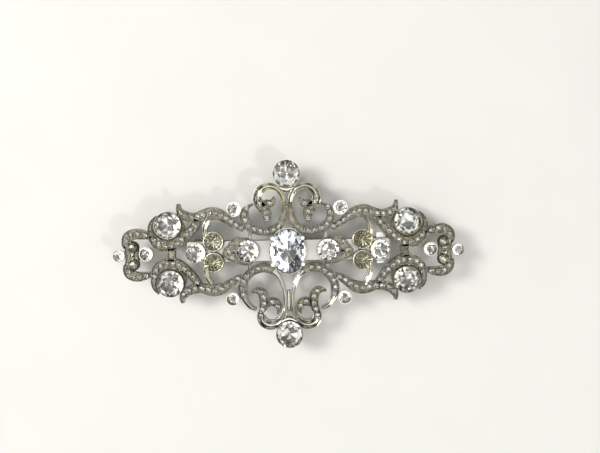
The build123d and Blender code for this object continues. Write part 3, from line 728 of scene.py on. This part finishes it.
CHIP_CROWN = 0.35
for name in sorted(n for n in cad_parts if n.endswith("_chips")):
    gems, slots, grains = Soup(), [], Soup()
    for x, y, top, radius in island_boxes(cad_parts[name].data):
        verts, faces, kinds = brilliant(x, y, top - CHIP_CROWN, radius, radius, 0.33, CHIP_CROWN, fold=6,
                                        turn=random.uniform(0, 1))
        gems.add(verts, faces)
        slots += kinds
        for quarter in range(4):
            angle = math.radians(45 + 90 * quarter) + random.uniform(-0.25, 0.25)
            reach = radius + 0.08
            ball(grains, x + reach * math.cos(angle), y + reach * math.sin(angle), top - 0.32, 0.2)
    add_piece(name.replace("_chips", "_chip_stones"), gems.verts, gems.faces, [round_crystal, silver_foil],
              [name], face_slots=slots)
    add_piece(name.replace("_chips", "_grains"), grains.verts, grains.faces, [bead_metal],
              smooth=True)
    print(name, "faces", len(gems.faces))

# %% [markdown]
# ## Collets and the clip
# The collets and the steel clip already have their true shapes. They only need softened edges, because no
# pressed or turned edge is perfectly sharp, and the finish of their own metal.


# %% Finish the turned and pressed parts
def finish_node(name, material, soften):
    """Give a plain node its metal and a fine rounding at its edges."""
    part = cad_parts[name]
    part.data.materials.clear()
    part.data.materials.append(material)
    edge = part.modifiers.new("soft_edges", "BEVEL")
    edge.width = soften * MM
    edge.segments = 2
    edge.limit_method = "ANGLE"


FINISHES = {
    "clip_plate": clip_steel, "clasp_arm": clip_steel, "hinge_pin": clip_steel, "catch_base": clip_steel,
    "catch_rivets": clip_steel, "tension_spring": spring_steel, "release_tab_back": spring_steel,
    "release_tab_front": spring_steel, "solder_fillets": solder_metal}
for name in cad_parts:
    if name.endswith("_collet"):
        finish_node(name, collet_metal, 0.08)
    elif name in FINISHES:
        finish_node(name, FINISHES[name], 0.06)

# %% [markdown]
# ## Floor, light and camera
# A pale matt floor takes the soft shadow. One large lamp from the upper left, with a dim room that is bright
# overhead, gives polished metal something dark and something bright to mirror, which is what makes it
# look polished. The camera stands almost straight above.

# %% Floor
floor_mesh = bpy.data.meshes.new("paper")
reach = 0.9
paper_corners = [(-reach, -reach, 0), (reach, -reach, 0), (reach, reach, 0), (-reach, reach, 0)]
floor_mesh.from_pydata(paper_corners, [], [(0, 1, 2, 3)])
floor = bpy.data.objects.new("paper", floor_mesh)
bpy.context.collection.objects.link(floor)
paper, tree, shader = new_material("pale_paper")
paper_tint = ramp(tree, noise(tree, 30.0, 2.0), [(0.3, (0.80, 0.795, 0.765)), (0.7, (0.82, 0.815, 0.785))])
tree.links.new(paper_tint, shader.inputs["Base Color"])
shader.inputs["Roughness"].default_value = 0.9
shader.inputs["Specular IOR Level"].default_value = 0.1
floor_mesh.materials.append(paper)
floor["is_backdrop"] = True

# %% Room light
world = bpy.data.worlds.new("room")
bpy.context.scene.world = world
world.use_nodes = True
tree = world.node_tree
tree.nodes.clear()
place = node(tree, "TexCoord")
blotches = node(tree, "TexNoise", Scale=2.6, Detail=2.0)
tree.links.new(place.outputs["Generated"], blotches.inputs["Vector"])
room = ramp(tree, blotches.outputs["Fac"], [
    (0.44, (0.05, 0.048, 0.04)), (0.52, (0.24, 0.235, 0.22)), (0.60, (1.15, 1.15, 1.12))])
toward = node(tree, "VectorMath", operation="DOT_PRODUCT")
toward.inputs[1].default_value = (-0.12, 0.10, 0.987)
tree.links.new(place.outputs["Generated"], toward.inputs[0])
overhead = ramp(tree, toward.outputs["Value"], [(0.90, (0, 0, 0)), (0.97, (1, 1, 1))])
OVERHEAD = (2.5, 2.5, 2.46)
sky = mix(tree, overhead, room, OVERHEAD)
path = node(tree, "LightPath")
seen = mix(tree, path.outputs["Is Camera Ray"], sky, (0.93, 0.93, 0.90))
background = node(tree, "Background", Strength=1.0)
tree.links.new(seen, background.inputs["Color"])
out = node(tree, "OutputWorld")
tree.links.new(background.outputs[0], out.inputs["Surface"])


def area_lamp(name, place, size, energy, colour, target=(0, 0, 0.01)):
    """A square soft lamp aimed at the object."""
    data = bpy.data.lights.new(name, "AREA")
    data.shape = "SQUARE"
    data.size = size
    data.energy = energy
    data.color = colour
    lamp = bpy.data.objects.new(name, data)
    lamp.location = place
    lamp.rotation_euler = (Vector(place) - Vector(target)).to_track_quat("Z", "Y").to_euler()
    bpy.context.collection.objects.link(lamp)
    return lamp


area_lamp("window", (-0.42, 0.16, 0.60), 0.22, 3.0, (1.0, 0.99, 0.97))
area_lamp("small_sparkle", (0.25, -0.2, 0.5), 0.05, 0.5, (1.0, 0.99, 0.97))

# %% Camera
DISTANCE = 0.200
FRAME_WIDTH = 0.176
TURN = math.radians(1.14)
aim = Vector((0.00369, 0.00809, 0.011))
lean = Vector((0.0115, 0.0447, 1.0)).normalized()
right = Vector((math.cos(TURN), -math.sin(TURN), 0))
right = (right - lean * right.dot(lean)).normalized()
up = lean.cross(right)
camera_data = bpy.data.cameras.new("camera")
camera_data.sensor_width = 36.0
camera_data.lens = 36.0 * DISTANCE / FRAME_WIDTH
camera = bpy.data.objects.new("camera", camera_data)
camera.location = aim + lean * DISTANCE
turned = np.array([right, up, lean]).T
camera.rotation_euler = Matrix(turned.tolist()).to_euler()
bpy.context.collection.objects.link(camera)
bpy.context.scene.camera = camera
bpy.context.scene.view_settings.view_transform = "Standard"

# %% Sizes and finish
looks_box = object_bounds()
plain = [[list(map(float, corner)) for corner in box] for box in (cad_box, looks_box)]
print("cad", plain[0], "looks", plain[1])
